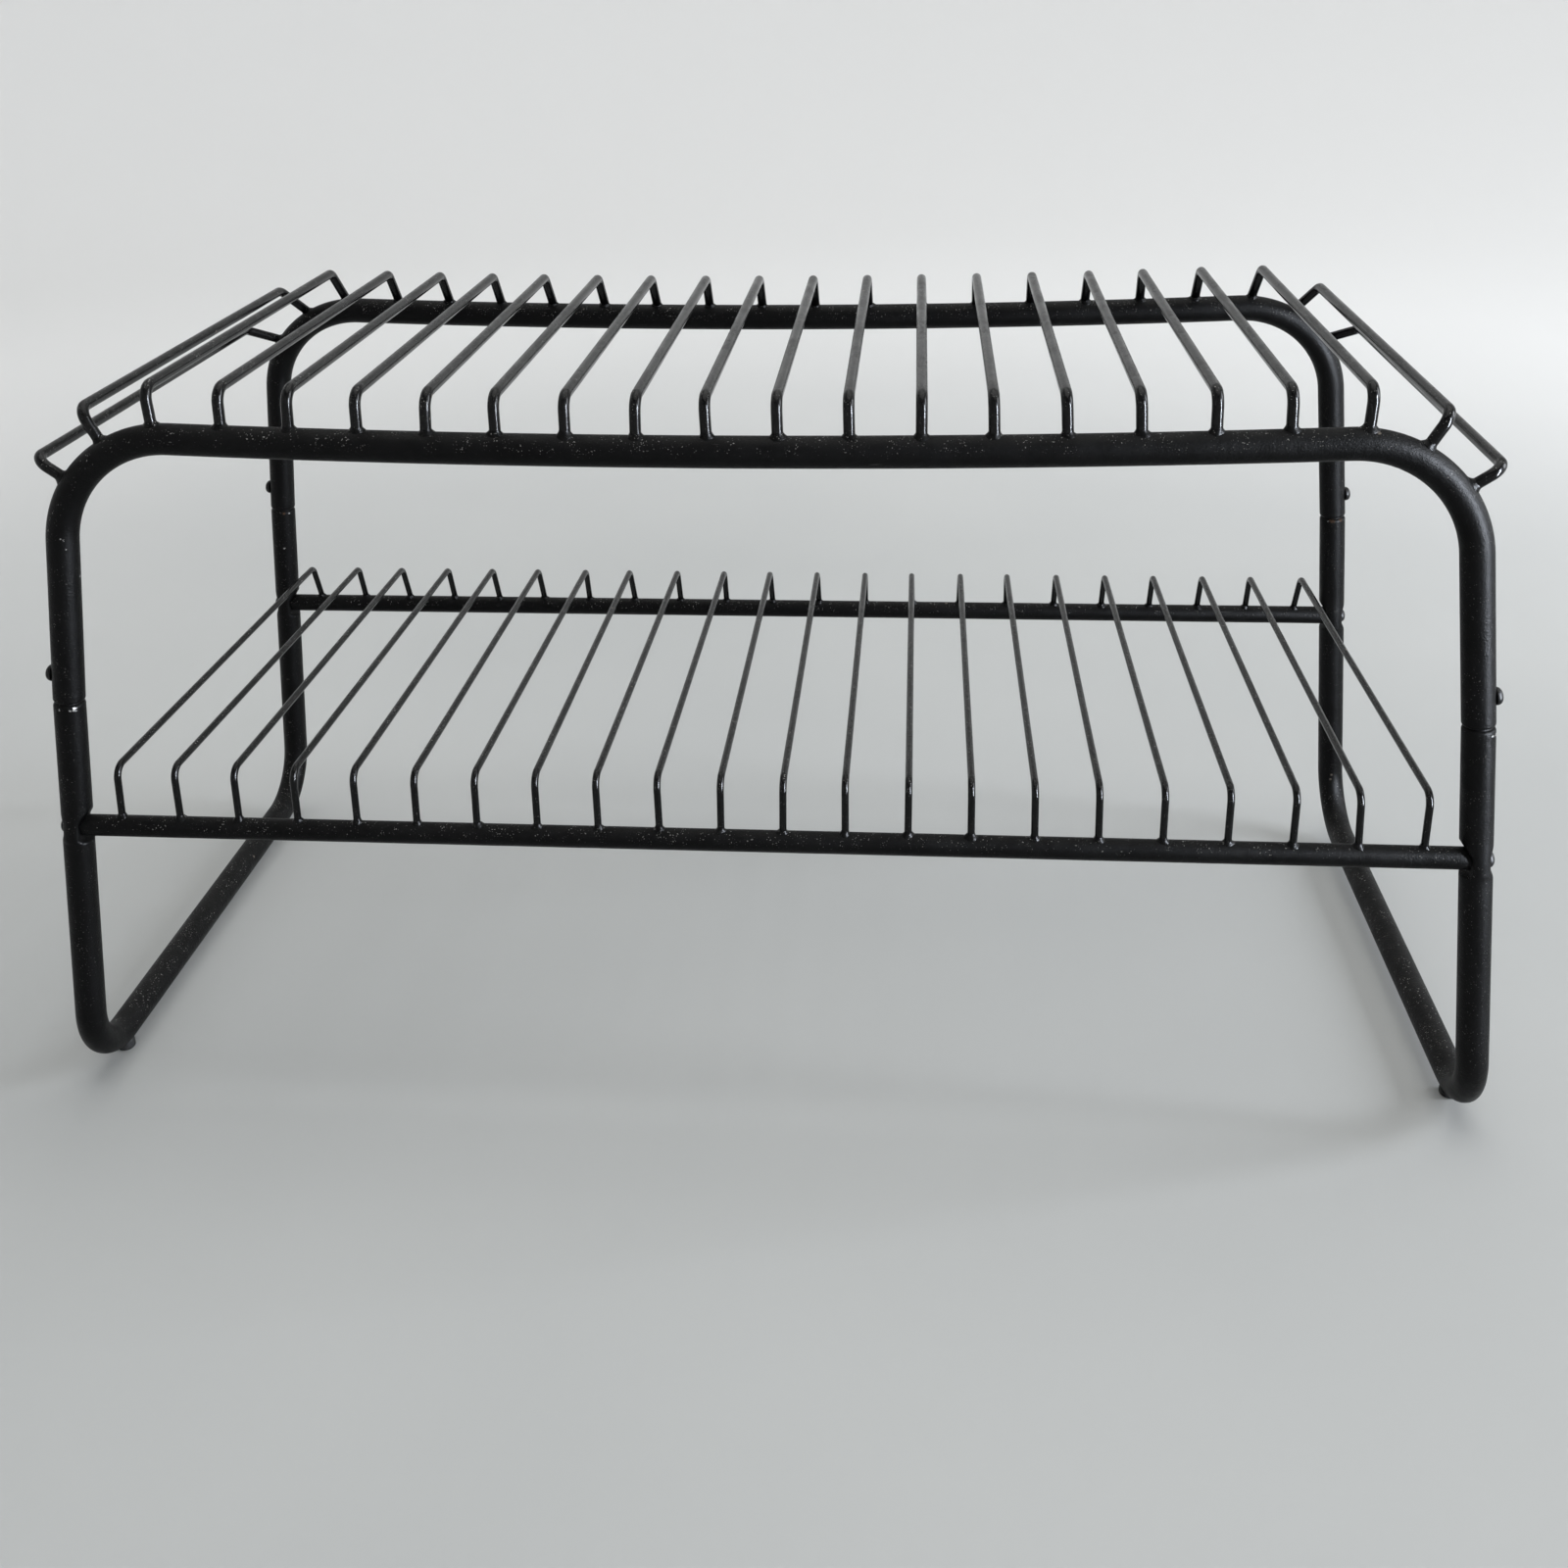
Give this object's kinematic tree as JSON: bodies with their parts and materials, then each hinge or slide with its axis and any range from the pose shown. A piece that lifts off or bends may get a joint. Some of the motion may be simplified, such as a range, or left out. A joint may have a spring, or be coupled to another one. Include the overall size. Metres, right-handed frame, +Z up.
{
  "type": "two-tier wire shelf rack",
  "caption": "Low, wide two-tier rack of black bent steel tube, with two shelves of parallel staple-shaped wires and a U-shaped side frame at each end.",
  "frame": {"origin": "on the floor at the centre of the rack's footprint", "axes": "+X to the right along the rack's length, +Y from the front of the rack to its back, +Z up"},
  "size_m": [0.905, 0.3898, 0.4846],
  "materials": {
    "frame_black": "black powder coat, satin, slightly dusty, silver wear at the joints",
    "wire_black": "black powder coat, glossier than the tubes, dust on the tops",
    "screw_black": "black plated dome head, semi-gloss",
    "foot_rubber": "matte black moulded rubber"
  },
  "bodies": {
    "root": {"front_arch": "frame_black", "back_arch": "frame_black", "left_side_frame": "frame_black", "right_side_frame": "frame_black", "front_rail": "frame_black", "back_rail": "frame_black", "upper_wire_01": "wire_black", "upper_wire_02": "wire_black", "upper_wire_03": "wire_black", "upper_wire_04": "wire_black", "upper_wire_05": "wire_black", "upper_wire_06": "wire_black", "upper_wire_07": "wire_black", "upper_wire_08": "wire_black", "upper_wire_09": "wire_black", "upper_wire_10": "wire_black", "upper_wire_11": "wire_black", "upper_wire_12": "wire_black", "upper_wire_13": "wire_black", "upper_wire_14": "wire_black", "upper_wire_15": "wire_black", "upper_wire_16": "wire_black", "upper_wire_17": "wire_black", "upper_wire_18": "wire_black", "upper_wire_19": "wire_black", "upper_wire_20": "wire_black", "upper_wire_21": "wire_black", "upper_wire_22": "wire_black", "lower_wire_01": "wire_black", "lower_wire_02": "wire_black", "lower_wire_03": "wire_black", "lower_wire_04": "wire_black", "lower_wire_05": "wire_black", "lower_wire_06": "wire_black", "lower_wire_07": "wire_black", "lower_wire_08": "wire_black", "lower_wire_09": "wire_black", "lower_wire_10": "wire_black", "lower_wire_11": "wire_black", "lower_wire_12": "wire_black", "lower_wire_13": "wire_black", "lower_wire_14": "wire_black", "lower_wire_15": "wire_black", "lower_wire_16": "wire_black", "lower_wire_17": "wire_black", "lower_wire_18": "wire_black", "lower_wire_19": "wire_black", "lower_wire_20": "wire_black", "lower_wire_21": "wire_black", "lower_wire_22": "wire_black", "leg_screw_front_left": "screw_black", "leg_screw_back_left": "screw_black", "leg_screw_front_right": "screw_black", "leg_screw_back_right": "screw_black", "foot_front_left": "foot_rubber", "foot_back_left": "foot_rubber", "foot_front_right": "foot_rubber", "foot_back_right": "foot_rubber"}
  },
  "joints": []
}
